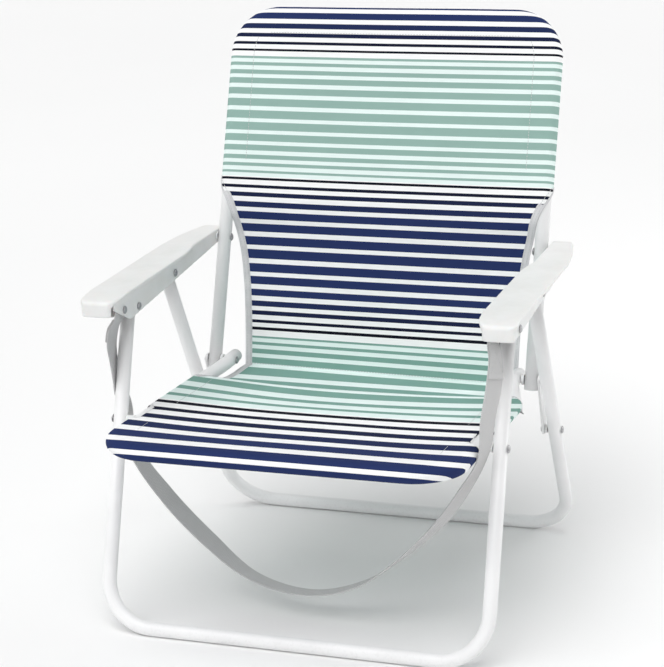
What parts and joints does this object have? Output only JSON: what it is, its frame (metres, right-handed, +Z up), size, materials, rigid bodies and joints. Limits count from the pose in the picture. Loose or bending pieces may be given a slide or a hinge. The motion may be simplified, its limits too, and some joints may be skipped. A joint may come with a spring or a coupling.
{
  "type": "folding beach chair",
  "caption": "Low folding beach chair with a bent steel tube frame, moulded plastic arms, a one-piece striped fabric sling and a carry strap.",
  "frame": {"origin": "on the floor, under the middle of the open chair's bounding box", "axes": "+Z up, +X to the sitter's left, -Y the way the chair faces"},
  "size_m": [0.586, 0.6028, 0.7483],
  "materials": {
    "white_paint": "satin white powder coat",
    "white_plastic": "satin white moulded plastic",
    "rivet_steel": "zinc-plated",
    "sling_fabric": "woven polyester, navy, white and mint stripes",
    "webbing": "woven grey polyester webbing"
  },
  "bodies": {
    "seat": {"seat_frame": "white_paint", "seat_fabric": "sling_fabric", "seat_rail_plug_left": "white_plastic", "seat_rail_plug_right": "white_plastic", "seat_hinge_washer_left": "white_plastic", "seat_hinge_washer_right": "white_plastic", "seat_hinge_rivet_left": "rivet_steel", "seat_hinge_rivet_right": "rivet_steel", "leg_pivot_bush_left": "white_plastic", "leg_pivot_bush_right": "white_plastic", "leg_pivot_rivet_left": "rivet_steel", "leg_pivot_rivet_right": "rivet_steel"},
    "back": {"back_frame": "white_paint", "back_fabric": "sling_fabric", "back_foot_plug_left": "white_plastic", "back_foot_plug_right": "white_plastic", "arm_rear_washer_left": "white_plastic", "arm_rear_washer_right": "white_plastic", "arm_rear_rivet_left": "rivet_steel", "arm_rear_rivet_right": "rivet_steel"},
    "arms": {"arm_left": "white_plastic", "arm_right": "white_plastic", "front_leg_rivet_inner_left": "rivet_steel", "front_leg_rivet_inner_right": "rivet_steel", "front_leg_rivet_outer_left": "rivet_steel", "front_leg_rivet_outer_right": "rivet_steel", "rear_leg_rivet_left": "rivet_steel", "rear_leg_rivet_right": "rivet_steel", "strap_rivet_left": "rivet_steel", "strap_rivet_right": "rivet_steel", "carry_strap": "webbing"},
    "front_legs": {"front_leg_frame": "white_paint", "front_leg_plug_left": "white_plastic", "front_leg_plug_right": "white_plastic"},
    "rear_legs": {"rear_leg_frame": "white_paint", "rear_leg_plug_left": "white_plastic", "rear_leg_plug_right": "white_plastic", "link_leg_rivet_left": "rivet_steel", "link_leg_rivet_right": "rivet_steel"},
    "links": {"link_left": "white_paint", "link_right": "white_paint", "link_stub_rivet_left": "rivet_steel", "link_stub_rivet_right": "rivet_steel", "link_spacer_left": "white_plastic", "link_spacer_right": "white_plastic"}
  },
  "joints": [
    {"name": "back_fold", "type": "hinge", "parent": "seat", "child": "back", "pos_m": [0, 0.1159, 0.268], "axis": [1, 0, 0], "range_deg": [0, 96], "deforming": ["carry_strap"]},
    {"name": "arms_on_back", "type": "hinge", "parent": "back", "child": "arms", "pos_m": [0, 0.178, 0.434], "axis": [1, 0, 0], "range_deg": [-94.88, 0]},
    {"name": "front_legs_on_seat", "type": "hinge", "parent": "seat", "child": "front_legs", "pos_m": [0, -0.1584, 0.2685], "axis": [1, 0, 0], "range_deg": [0, 101.2]},
    {"name": "rear_legs_on_arms", "type": "hinge", "parent": "arms", "child": "rear_legs", "pos_m": [0, 0.0176, 0.423], "axis": [1, 0, 0], "range_deg": [0, 54.37]},
    {"name": "links_on_seat", "type": "hinge", "parent": "seat", "child": "links", "pos_m": [0, 0.1159, 0.268], "axis": [1, 0, 0], "range_deg": [-95.72, 0]}
  ],
  "couplings": [
    {"joint": "arms_on_back", "follows": "back_fold", "ratio": -0.9863},
    {"joint": "front_legs_on_seat", "follows": "back_fold", "ratio": 1.0521},
    {"joint": "rear_legs_on_arms", "follows": "back_fold", "ratio": 0.5643},
    {"joint": "links_on_seat", "follows": "back_fold", "ratio": -0.995}
  ]
}
